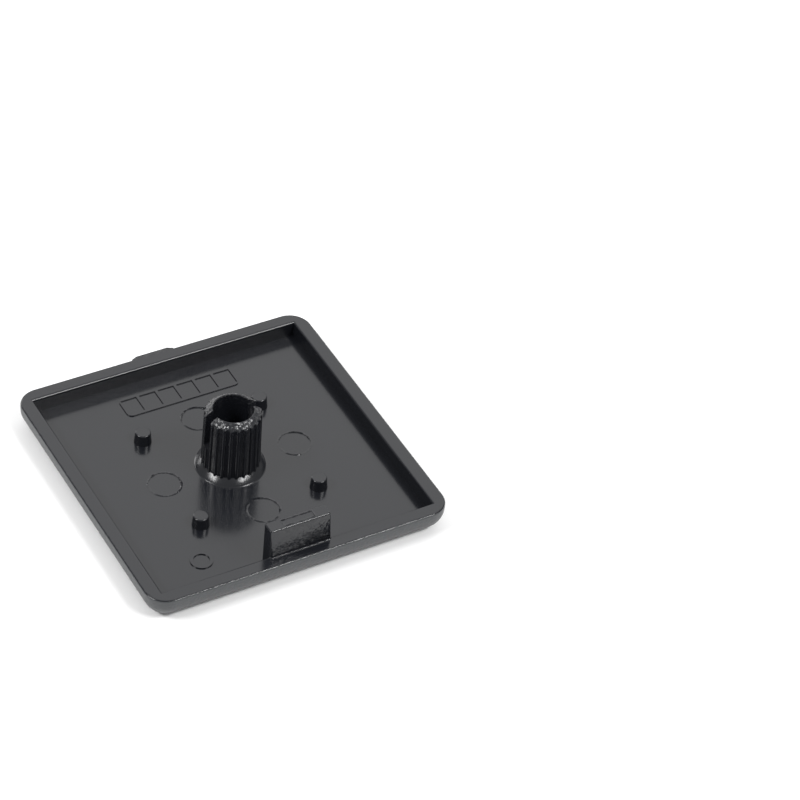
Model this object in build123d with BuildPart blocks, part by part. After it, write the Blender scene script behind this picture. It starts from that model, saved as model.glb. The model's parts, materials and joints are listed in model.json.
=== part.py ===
"""Profile end cap: one moulded piece that closes the end of a square aluminium profile.

The outer face lies on z = 0 and the ribbed post points up +Z, into the profile.
X and Y run along the square's sides, and the slot lug stands on the -Y side.
All lengths are in millimetres.
"""
import os
from math import cos, degrees, radians, sin

from build123d import *

# Plate: a square with a large round about its outer face and a shallow tray on the inside
plate_size = 40.0
plate_thickness = 3.5
corner_radius = 2.8
face_edge_radius = 2.75
rim_width = 1.88
rim_edge_radius = 0.25
tray_edge_radius = 0.3
tray_depth = 2.1

# Centre post: a hollow, split and ribbed plug that presses into the profile's centre bore
post_reach = 7.05
post_root_diameter = 6.98
post_root_draft = 0.16
post_lip_drop = 0.72
post_lip_bulge = 0.05
post_lip_land = 0.14
bore_diameter = 4.95
bore_edge_radius = 0.12
bore_bottom_wall = 1.6
rib_count = 24
rib_width = 0.5
rib_height = 0.18
slot_width = 1.3
slot_depth = 5.1
collar_step = 0.7
collar_height = 0.85
collar_bulge = 0.05
collar_foot_radius = 0.25

# Slot lug: a tapered tongue that keeps the cap from turning
lug_width = 8.0
lug_reach = 3.85
lug_inset = 1.5
lug_root_thickness = 2.22
lug_front_draft = 0.53
lug_edge_radius = 0.2
lug_foot_radius = 0.15
blade_mark_length = 4.1
blade_mark_width = 0.95

# Four tapered stand-off pins on the tray floor, just short of the rim's plane
pin_spacing = 16.0
pin_root_diameter = 2.22
pin_draft_angle = 5.5
pin_setback = 0.55
pin_edge_radius = 0.18

# Shallow marks of the mould's ejectors: discs on the tray floor and a blade on top of the lug
ejector_count = 4
ejector_circle_radius = 8.9
ejector_diameter = 4.1
ejector_depth = 0.06

# Blank marking field and round locating mark, both raised lines on the tray floor
marking_line_width = 0.4
marking_height = 0.14
field_length = 15.4
field_width = 3.4
field_corner_radius = 0.7
field_wall_gap = 2.2
field_cells = 6
dot_diameter = 2.8
dot_wall_gap_x = 6.1
dot_wall_gap_y = 3.2

# Trimmed edge gate left on the outside of the rim, opposite the lug
gate_root_width = 5.7
gate_tip_width = 4.25
gate_stub = 0.33
gate_thickness = 0.7
gate_offset = -0.95

# How far fused forms reach into each other, and the least flat left beside a fillet
overlap = 0.3
fillet_margin = 0.05

# Levels and places that follow from the sizes above
rim_top = plate_thickness
floor_level = rim_top - tray_depth
half_plate = plate_size / 2
half_tray = half_plate - rim_width
post_top = rim_top + post_reach
collar_top = floor_level + collar_height
root_radius = post_root_diameter / 2
crest_radius = root_radius + rib_height
collar_radius = crest_radius + collar_step
tip_crest_radius = crest_radius - post_root_draft
rib_pitch = 360 / rib_count
lug_top = rim_top + lug_reach
lug_front = half_plate - lug_inset
lug_back = lug_front - lug_root_thickness
field_y = half_tray - field_wall_gap - field_width / 2
dot_x = half_tray - dot_wall_gap_x - dot_diameter / 2
dot_y = half_tray - dot_wall_gap_y - dot_diameter / 2


def at_angle(radius, angle):
    """Point on a circle about the post's axis, at an angle in degrees."""
    return (radius * cos(radians(angle)), radius * sin(radians(angle)))


with BuildPart() as end_cap:
    # Plate with rounded corners and a rounded outer face
    with BuildSketch(Plane.XY):
        RectangleRounded(plate_size, plate_size, corner_radius)
    extrude(amount=plate_thickness)
    widest_round = min(corner_radius, plate_thickness - rim_edge_radius) - fillet_margin
    fillet(end_cap.edges().group_by(Axis.Z)[0], min(face_edge_radius, widest_round))
    fillet(end_cap.edges().group_by(Axis.Z)[-1], rim_edge_radius)

    # Tray, which leaves the rim standing round it
    with BuildSketch(Plane.XY.offset(floor_level)):
        Rectangle(2 * half_tray, 2 * half_tray)
    extrude(amount=tray_depth, mode=Mode.SUBTRACT)
    fillet(end_cap.edges(Select.LAST).group_by(Axis.Z)[-1], tray_edge_radius)

    # Ejector marks
    with BuildSketch(Plane.XY.offset(floor_level)):
        with PolarLocations(ejector_circle_radius, ejector_count):
            Circle(ejector_diameter / 2)
    extrude(amount=-ejector_depth, mode=Mode.SUBTRACT)

    # Blank marking field, a frame with dividers
    with BuildSketch(Plane.XY.offset(floor_level - overlap)):
        with Locations((0, field_y)):
            RectangleRounded(field_length, field_width, field_corner_radius)
            with GridLocations(field_length / field_cells, 0, field_cells, 1):
                Rectangle(
                    field_length / field_cells - marking_line_width,
                    field_width - 2 * marking_line_width,
                    mode=Mode.SUBTRACT,
                )
    extrude(amount=overlap + marking_height)

    # Round locating mark
    with BuildSketch(Plane.XY.offset(floor_level - overlap)):
        with Locations((-dot_x, -dot_y)):
            Circle(dot_diameter / 2)
            Circle(dot_diameter / 2 - marking_line_width, mode=Mode.SUBTRACT)
    extrude(amount=overlap + marking_height)

    # Stand-off pins
    with BuildSketch(Plane.XY.offset(floor_level)):
        with GridLocations(pin_spacing, pin_spacing, 2, 2):
            Circle(pin_root_diameter / 2)
    extrude(amount=tray_depth - pin_setback, taper=pin_draft_angle)
    fillet(end_cap.edges(Select.LAST).group_by(Axis.Z)[-1], pin_edge_radius)

    # Slot lug, drawn from the side: the front leans back and the back stands upright
    with BuildSketch(Plane.YZ):
        with BuildLine():
            Polyline(
                (-lug_front, floor_level - overlap),
                (-lug_front, rim_top),
                (-lug_front + lug_front_draft, lug_top),
                (-lug_back, lug_top),
                (-lug_back, floor_level - overlap),
                close=True,
            )
        make_face()
    extrude(amount=lug_width / 2, both=True)
    lug_edges = end_cap.edges(Select.LAST).filter_by_position(Axis.Z, rim_top + overlap, lug_top)
    fillet(lug_edges, lug_edge_radius)
    fillet(end_cap.edges().filter_by_position(Axis.Y, -lug_front, -lug_front), lug_foot_radius)

    # Mark of the blade that pushes the lug out of the mould
    with BuildSketch(Plane.XY.offset(lug_top)):
        with Locations((0, -(lug_front - lug_front_draft + lug_back) / 2)):
            Rectangle(blade_mark_length, blade_mark_width)
    extrude(amount=-ejector_depth, mode=Mode.SUBTRACT)

    # Collar round the foot of the post, a slightly bulging slope from the ribs to the tray floor
    with BuildSketch(Plane.XZ):
        with BuildLine():
            slope = SagittaArc((collar_radius, floor_level), (root_radius, collar_top), -collar_bulge)
            Polyline(
                slope @ 1,
                (0, collar_top),
                (0, floor_level - overlap),
                (collar_radius, floor_level - overlap),
                slope @ 0,
            )
        make_face()
    revolve(axis=Axis.Z)
    fillet(end_cap.edges(Select.LAST).group_by(Axis.Z)[0], collar_foot_radius)

    # Ribbed post, a little narrower at its tip: a round root with a rounded rib at every pitch
    for level, root in ((collar_top - overlap, root_radius), (post_top, root_radius - post_root_draft)):
        with BuildSketch(Plane.XY.offset(level)):
            with BuildLine():
                half_rib = degrees(rib_width / 2 / root)
                for number in range(rib_count):
                    middle = number * rib_pitch
                    rib_start = at_angle(root, middle - half_rib)
                    rib_end = at_angle(root, middle + half_rib)
                    next_rib = at_angle(root, middle + rib_pitch - half_rib)
                    ThreePointArc(rib_start, at_angle(root + rib_height, middle), rib_end)
                    ThreePointArc(rib_end, at_angle(root, middle + rib_pitch / 2), next_rib)
            make_face()
    loft(ruled=True)

    # Sloping lip across the end of the wall and its ribs, which leads the post into the bore
    with BuildSketch(Plane.XZ):
        with BuildLine():
            lip_outside = (tip_crest_radius, post_top - post_lip_drop)
            lip_inside = (bore_diameter / 2 + post_lip_land, post_top)
            lip = SagittaArc(lip_inside, lip_outside, post_lip_bulge)
            Polyline(
                lip @ 1,
                (crest_radius + overlap, post_top - post_lip_drop),
                (crest_radius + overlap, post_top + overlap),
                lip_inside,
            )
        make_face()
    revolve(axis=Axis.Z, mode=Mode.SUBTRACT)

    # Blind bore up the middle of the post
    with BuildSketch(Plane.XY.offset(bore_bottom_wall)):
        Circle(bore_diameter / 2)
    extrude(until=Until.LAST, mode=Mode.SUBTRACT)
    fillet(end_cap.edges(Select.LAST).group_by(Axis.Z)[-1], bore_edge_radius)

    # Slot through both walls, which lets the two halves spring together
    with BuildSketch(Plane.XY.offset(post_top - slot_depth)):
        Rectangle(2 * (crest_radius + overlap), slot_width)
    extrude(amount=slot_depth, mode=Mode.SUBTRACT)

    # Gate stub
    with BuildSketch(Plane.XY.offset(rim_top - gate_thickness)):
        with BuildLine():
            Polyline(
                (gate_offset - gate_root_width / 2, half_plate - overlap),
                (gate_offset - gate_root_width / 2, half_plate),
                (gate_offset - gate_tip_width / 2, half_plate + gate_stub),
                (gate_offset + gate_tip_width / 2, half_plate + gate_stub),
                (gate_offset + gate_root_width / 2, half_plate),
                (gate_offset + gate_root_width / 2, half_plate - overlap),
                close=True,
            )
        make_face()
    extrude(amount=gate_thickness)

end_cap.part.label = "end_cap"

os.makedirs("parts", exist_ok=True)
export_step(end_cap.part, "parts/end_cap.step")
print(f"end_cap: volume {end_cap.part.volume:.1f} mm3, size {end_cap.part.bounding_box().size}")
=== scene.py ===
# %% [markdown]
# # Profile end cap
#
# A black moulded cap that closes the end of a 40 mm square aluminium profile. It lies on its
# outer face, so the tray, the ribbed post, the pins and the slot lug can all be seen.
#
# The solid model is loaded first as a fixed frame. It already has the true form of every rib,
# pin and rounded edge, so the work here is the surface: how the mould's polished and spark
# eroded faces left the plastic, and how a studio shows that.

# %% Load the frame
import json
import math

import bpy
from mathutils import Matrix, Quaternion, Vector


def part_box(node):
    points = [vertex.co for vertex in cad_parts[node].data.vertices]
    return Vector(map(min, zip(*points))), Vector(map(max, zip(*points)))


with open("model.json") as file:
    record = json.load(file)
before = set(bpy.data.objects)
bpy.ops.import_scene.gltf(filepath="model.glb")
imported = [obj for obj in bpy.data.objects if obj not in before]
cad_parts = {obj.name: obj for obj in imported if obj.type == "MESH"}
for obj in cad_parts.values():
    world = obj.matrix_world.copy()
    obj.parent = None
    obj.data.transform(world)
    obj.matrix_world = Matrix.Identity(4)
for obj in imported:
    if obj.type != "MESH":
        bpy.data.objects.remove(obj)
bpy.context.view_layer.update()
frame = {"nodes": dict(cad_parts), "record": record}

MM = 0.001
cap = frame["nodes"]["end_cap"]
cap_low, cap_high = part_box("end_cap")
print("cap measures", [round(side / MM, 2) for side in cap_high - cap_low], "mm")

# %% [markdown]
# ## Places on the cap
#
# The finishes change from zone to zone, so the shader needs to know where the zones are. The
# mounts in the record give the plane of the rim, and the box gives the outline and the tip of
# the post. What remains is a short list of sizes of the moulding itself.

# %% Sizes that place the finishes
mounts = {mount["name"]: mount for mount in frame["record"]["mounts"]}
half_plate = cap_high.x
rim_top = mounts["profile_seat"]["pos_m"][2]
post_top = cap_high.z
rim_width = 1.88 * MM
tray_depth = 2.1 * MM
rim_edge = 0.25 * MM
lug_edge = 2.05 * MM
lug_round = 0.2 * MM
lug_reach = 3.85 * MM
lug_top = rim_top + lug_reach
lug_foot = 0.15 * MM
blade_centre = -17.13 * MM
blade_length = 4.1 * MM
blade_width = 0.95 * MM
post_radius = 3.7 * MM
lip_depth = 0.74 * MM
collar_radius = 4.4 * MM
collar_height = 0.85 * MM
ejector_circle = 8.9 * MM
ejector_radius = 2.05 * MM
floor_level = rim_top - tray_depth
print("rim top", round(rim_top / MM, 2), "mm, tray floor", round(floor_level / MM, 2), "mm")

# %% [markdown]
# ## Writing shader sums as Python
#
# A node tree for several zones is long if every sum is wired by hand. `Signal` wraps one output
# socket, so `1 - mask` or `a * b` adds the Math node it needs, and `a | b` takes the larger of
# the two. `Finish` owns a material and has one method, `node`, for every other kind of node.

# %% Shader helpers
class Signal:
    """A value in a node tree that ordinary sums work on."""

    def __init__(self, finish, socket):
        self.finish = finish
        self.socket = socket

    def sum(self, operation, *values):
        return self.finish.node("ShaderNodeMath", {"operation": operation}, dict(enumerate(values)))

    def __add__(self, other):
        return self.sum("ADD", self, other)

    def __sub__(self, other):
        return self.sum("SUBTRACT", self, other)

    def __rsub__(self, other):
        return self.sum("SUBTRACT", other, self)

    def __mul__(self, other):
        return self.sum("MULTIPLY", self, other)

    def __truediv__(self, other):
        return self.sum("DIVIDE", self, other)

    def __gt__(self, other):
        return self.sum("GREATER_THAN", self, other)

    def __lt__(self, other):
        return self.sum("LESS_THAN", self, other)

    def __or__(self, other):
        return self.sum("MAXIMUM", self, other)

    def __pow__(self, other):
        return self.sum("POWER", self, other)

    def __rpow__(self, other):
        return self.sum("POWER", other, self)

    def __abs__(self):
        return self.sum("ABSOLUTE", self)

    __radd__ = __add__
    __rmul__ = __mul__


class Finish:
    """A material, and the tree that gives it its looks."""

    def __init__(self, name):
        self.material = bpy.data.materials.new(name)
        self.material.use_nodes = True
        self.tree = self.material.node_tree
        self.tree.nodes.clear()

    def node(self, kind, settings=None, inputs=None, output=0):
        made = self.tree.nodes.new(kind)
        for name, value in (settings or {}).items():
            setattr(made, name, value)
        for key, value in (inputs or {}).items():
            self.feed(made.inputs[key], value)
        return Signal(self, made.outputs[output]) if made.outputs else made

    def feed(self, socket, value):
        if isinstance(value, Signal):
            self.tree.links.new(value.socket, socket)
        else:
            socket.default_value = value

    def split(self, vector):
        """The three parts of a vector, as signals."""
        parts = self.node("ShaderNodeSeparateXYZ", inputs={0: vector})
        return [Signal(self, socket) for socket in parts.socket.node.outputs]


print("shader helpers ready")

# %% [markdown]
# ## The plastic
#
# One shot of black plastic fills the whole mould, so the cap needs one material. What changes
# from place to place is the mould's own surface. The core side, which forms the tray, is ground
# and stoned and leaves a soft gloss. The cavity side, which forms the outer skin, is spark
# eroded and leaves a fine grain. The lug's front is eroded too, the post's lip is rough where
# the two halves of the core meet, and the collar has the turning marks of its mould insert.
#
# A painted texture would need a flat map of every face. A mask made from Object coordinates
# needs none: it only asks where a point lies on the cap, so it follows the solid in any view.

# %% Where a point lies
plastic = Finish("moulded_black_plastic")
place = plastic.node("ShaderNodeTexCoord", output="Object")
x, y, z = plastic.split(place)
off_centre = abs(x) | abs(y)
from_axis = (x * x + y * y) ** 0.5
print("started", plastic.material.name)

# %% [markdown]
# Each mask below is 1 inside its zone and 0 outside, and a product of two masks keeps what they
# share. The two narrow lines, along the rim's outer edge and at the lug's foot, are where the
# halves of the mould meet. Only `outer_face` fades: the grain is strongest on the face that the
# cap lies on, and shallow on the walls, where a deep one would catch as the cap leaves the mould.
# It also sets how much painted floor sheen the colour gets: little on that face, full on the walls.

# %% Zones left by the mould
FACE_FADES_AT = 1.4 * MM
clear_of_rim = lug_foot / 9
before_lug = y < lug_edge - half_plate
beside_tray = off_centre > half_plate - rim_width + rim_edge
skin = (beside_tray * (z < rim_top - rim_edge / 3)) | (z < floor_level / 2)
outer_face = skin * ((FACE_FADES_AT - z) / MM | 0)
lug_face = before_lug * (z > rim_top + rim_edge) * (z < lug_top - lug_round)
lug_line = before_lug * (z > rim_top + clear_of_rim) * (z < rim_top + lug_foot)
rim_line = (off_centre > half_plate - rim_edge) * (z > rim_top - rim_edge)
post_lip = (from_axis < post_radius) * (z > post_top - lip_depth)
collar = (from_axis < collar_radius) * (z < floor_level + collar_height)
eroded = skin | lug_face
print("eroded below", round((rim_top - rim_edge / 3) / MM, 2), "mm and on the lug's front")

# %% [markdown]
# ## Flash
#
# Molten plastic creeps into the gap round each ejector pin, and round the blade that pushes the
# lug out. It leaves a thin raised line, which breaks off here and there. A bell curve over the
# distance from the pin's edge draws the line, and a noise that is cut off at zero breaks it.

# %% Flash round the ejectors
FLASH_WIDTH = 0.11 * MM
FLASH_BREAKS = 1.2 * MM
FLASH_CONTRAST, FLASH_GAPS = 3, 1
BLADE_SHARE = 0.6


def noise(size, detail):
    return plastic.node("ShaderNodeTexNoise", {}, {"Vector": place, "Scale": 1 / size, "Detail": detail})


def thin_line(off_edge):
    across = off_edge / FLASH_WIDTH
    return math.e ** (across * across * -1)


def distance(a, b):
    return (a * a + b * b) ** 0.5


pin_beside = distance(abs(x) - ejector_circle, y)
pin_before = distance(x, abs(y) - ejector_circle)
nearest_pin = plastic.node("ShaderNodeMath", {"operation": "MINIMUM"}, {0: pin_beside, 1: pin_before})
blade_edge = (abs(x) - blade_length / 2) | (abs(y - blade_centre) - blade_width / 2)
pin_flash = thin_line(nearest_pin - ejector_radius) * (z < floor_level + FLASH_WIDTH)
blade_flash = thin_line(blade_edge) * (z > lug_top - FLASH_WIDTH)
unbroken = (noise(FLASH_BREAKS, 2.0) * FLASH_CONTRAST - FLASH_GAPS) | 0
flash = (pin_flash | blade_flash * BLADE_SHARE) * unbroken
print("flash", round(FLASH_WIDTH / MM, 2), "mm wide round 4 pins and 1 blade")

# %% [markdown]
# ## Relief
#
# All heights go into one Bump node, so they are added up in metres. The grain is fine and even.
# The ripple is the faint wave of a hand-stoned floor. The collar has rings, because noise that
# depends only on the distance from the axis is the same all the way round. The lug's front
# sank a little as it cooled, most of all low on one side, and so it darkens there.

# %% Heights in metres
GRAIN, SKIN_GRAIN, FACE_GRAIN = 0.32 * MM, 0.04 * MM, 0.15 * MM
RIPPLE, RIPPLE_HEIGHT = 3.0 * MM, 0.01 * MM
TURNING, TURNING_HEIGHT = 0.22 * MM, 0.004 * MM
FLASH_HEIGHT = 0.09 * MM
SINK_START, SINK_SKEW, SINK_BEND = 3.0 * MM, 0.3, 0.075 / MM

grain = noise(GRAIN, 1.0) * (skin * SKIN_GRAIN + outer_face * FACE_GRAIN)
ripple = noise(RIPPLE, 1.0) * (1 - eroded) * RIPPLE_HEIGHT
rings = plastic.node(
    "ShaderNodeTexNoise", {"noise_dimensions": "1D"}, {"W": (from_axis - z) / TURNING, "Detail": 1.0}
)
below = (rim_top + SINK_START - z + x * SINK_SKEW) | 0
sink = below * below * lug_face * -SINK_BEND
height = grain + ripple + flash * FLASH_HEIGHT + rings * collar * TURNING_HEIGHT + sink
print("grain", round(GRAIN / MM, 2), "mm, ripple", round(RIPPLE / MM, 2), "mm")

# %% [markdown]
# ## Facets
#
# Torn and eroded plastic sparkles: it is made of tiny flat patches, and the few that face a lamp
# flash white. A fine bump can't show this, as its many slopes average out. A Voronoi texture
# can, because each of its cells has one random colour. Taken as a direction, that colour leans
# the whole cell one way.

# %% Facets
FACET = 0.18 * MM
LEANS = [(lug_face, 0.28), (lug_line, 0.35), (post_lip, 0.5), (flash, 0.6), (rim_line, 0.22)]
FACE_LEAN = 0.3


def vectors(operation, *values, **named):
    inputs = {**dict(enumerate(values)), **named}
    return plastic.node("ShaderNodeVectorMath", {"operation": operation}, inputs)


def facets(size, lean):
    cells = plastic.node("ShaderNodeTexVoronoi", {}, {"Vector": place, "Scale": 1 / size}, "Color")
    return vectors("SCALE", vectors("SUBTRACT", cells, (0.5, 0.5, 0.5)), Scale=lean)


torn = facets(FACET, sum(zone * lean for zone, lean in LEANS))
sparkle = facets(GRAIN, outer_face * FACE_LEAN)
smooth = plastic.node("ShaderNodeNewGeometry", output="Normal")
facing = vectors("NORMALIZE", vectors("ADD", smooth, vectors("ADD", torn, sparkle)))
relief = plastic.node(
    "ShaderNodeBump",
    inputs={"Strength": 1.0, "Distance": 1.0, "Height": height, "Normal": facing},
)
print("facets of", round(FACET / MM, 2), "mm on", len(LEANS), "zones")

# %% [markdown]
# ## Colour and gloss
#
# The plastic is nearly black everywhere. The grained walls get a greyer colour. Part of it is the
# grain, which scatters more of the light that falls on it. Part of it is a painted reflection of
# the pale floor that those walls mirror, so the face the cap lies on gets little of it. Roughness
# is low where the mould was stoned, and rises with the grain. Ordinary plastic has an index of
# refraction of about 1.5.

# %% Colour, gloss and the finished material
FACE_DARKENS = 0.57
POLISHED, POLISH_VARIES, POLISH_PATCH = 0.155, 0.05, 1.5 * MM
SKIN_ROUGH, FACE_SMOOTHER, LUG_ROUGH, LIP_ROUGHER = 0.38, 0.04, 0.22, 0.1
POLISHED_BLACK = (0.0084, 0.0092, 0.0118, 1.0)
# Grey of the grain plus painted sheen: the walls' reflection of the pale floor, painted into the colour.
GRAIN_GREY_AND_FLOOR_SHEEN = (0.045, 0.048, 0.051, 1.0)
FIRST_COLOUR, SECOND_COLOUR, MIXED_COLOUR = 6, 7, 2

# Painted floor sheen: the colour goes from near black on the outer face to the painted grey up the walls.
shade = plastic.node(
    "ShaderNodeMix",
    {"data_type": "RGBA"},
    {"Factor": skin - outer_face * FACE_DARKENS, FIRST_COLOUR: POLISHED_BLACK, SECOND_COLOUR: GRAIN_GREY_AND_FLOOR_SHEEN},
    MIXED_COLOUR,
)
polish = POLISHED + noise(POLISH_PATCH, 3.0) * POLISH_VARIES
inside = polish * (1 - eroded) + post_lip * LIP_ROUGHER
roughness = inside + skin * SKIN_ROUGH - outer_face * FACE_SMOOTHER + lug_face * LUG_ROUGH
shader = plastic.node(
    "ShaderNodeBsdfPrincipled",
    inputs={"Base Color": shade, "Roughness": roughness, "IOR": 1.5, "Normal": relief},
)
plastic.node("ShaderNodeOutputMaterial", inputs={"Surface": shader})
cap.material_slots[0].material = plastic.material
print("cap finished in", cap.material_slots[0].material.name, "with", len(plastic.tree.nodes), "nodes")

# %% [markdown]
# ## The studio
#
# A plain pale floor, a white surround, and four soft panels. Black plastic has hardly any
# colour of its own, so its tone is what it mirrors. The wide panel behind fills the flat
# faces. The two small boxes left and right draw the bright lines on rounded edges and light
# up the facets, and the low box far behind does the same for the tray's far wall.

# %% Floor
FLOOR_SIZE = 3.0


def pale_floor():
    bpy.ops.mesh.primitive_plane_add(size=FLOOR_SIZE)
    floor = bpy.context.object
    floor.name = "studio_floor"
    finish = Finish("studio_floor")
    shader = finish.node(
        "ShaderNodeBsdfPrincipled",
        inputs={"Base Color": (0.93, 0.93, 0.93, 1.0), "Roughness": 0.9, "Specular IOR Level": 0.0},
    )
    finish.node("ShaderNodeOutputMaterial", inputs={"Surface": shader})
    floor.data.materials.append(finish.material)
    return floor


pale_floor()
print("floor", FLOOR_SIZE, "m square")

# %% World
SURROUND = 0.45


def white_surround():
    world = bpy.data.worlds.new("white_surround")
    bpy.context.scene.world = world
    world.use_nodes = True
    nodes, links = world.node_tree.nodes, world.node_tree.links
    nodes.clear()
    path = nodes.new("ShaderNodeLightPath")
    surround = nodes.new("ShaderNodeBackground")
    surround.inputs["Strength"].default_value = SURROUND
    backdrop = nodes.new("ShaderNodeBackground")
    backdrop.inputs["Color"].default_value = (1, 1, 1, 1)
    surround.inputs["Color"].default_value = (1, 1, 1, 1)
    mix = nodes.new("ShaderNodeMixShader")
    output = nodes.new("ShaderNodeOutputWorld")
    links.new(path.outputs["Is Camera Ray"], mix.inputs[0])
    links.new(surround.outputs[0], mix.inputs[1])
    links.new(backdrop.outputs[0], mix.inputs[2])
    links.new(mix.outputs[0], output.inputs[0])


white_surround()
print("surround at", SURROUND)

# %% Panels
PANELS = {
    "back_panel": {"towards": (0.35, 0.64, 0.68), "distance": 0.7, "size": (0.9, 0.6), "glow": 1.18},
    "left_box": {"towards": (-0.68, 0.07, 0.73), "distance": 0.6, "size": (0.22, 0.10), "glow": 30.0},
    "right_box": {"towards": (0.35, -0.51, 0.78), "distance": 0.6, "size": (0.24, 0.10), "glow": 30.0},
    "far_box": {"towards": (-0.25, 0.93, 0.27), "distance": 0.6, "size": (0.26, 0.16), "glow": 4.5},
}


def panel(name, towards, distance, size, glow):
    light = bpy.data.lights.new(name, "AREA")
    light.shape = "RECTANGLE"
    light.size, light.size_y = size
    light.energy = glow * math.pi * size[0] * size[1]
    lamp = bpy.data.objects.new(name, light)
    direction = Vector(towards).normalized()
    lamp.location = direction * distance
    lamp.rotation_euler = direction.to_track_quat("Z", "Y").to_euler()
    bpy.context.scene.collection.objects.link(lamp)
    return lamp


for panel_name, setting in PANELS.items():
    panel(panel_name, **setting)
    print(panel_name, "glows at", setting["glow"])

# %% [markdown]
# ## The camera
#
# A long lens from above one corner, a little tilted. The cap sits left of the middle, so the
# camera looks at a point on the floor beside it.

# %% Camera
AIM = Vector((25.56, 2.94, 0)) * MM
DISTANCE = 412.7 * MM
AZIMUTH, ELEVATION, ROLL = (math.radians(angle) for angle in (-33.0, 41.99, 6.04))
LENS = 146.98


def camera():
    lens = bpy.data.cameras.new("camera")
    lens.lens = LENS
    lens.clip_start = 0.01
    seat = bpy.data.objects.new("camera", lens)
    away = Vector((
        math.sin(AZIMUTH) * math.cos(ELEVATION),
        -math.cos(AZIMUTH) * math.cos(ELEVATION),
        math.sin(ELEVATION),
    ))
    seat.location = AIM + away * DISTANCE
    seat.rotation_mode = "QUATERNION"
    seat.rotation_quaternion = away.to_track_quat("Z", "Y") @ Quaternion((0, 0, 1), ROLL)
    bpy.context.scene.collection.objects.link(seat)
    bpy.context.scene.camera = seat
    return seat


camera()
bpy.context.scene.view_settings.view_transform = "Standard"
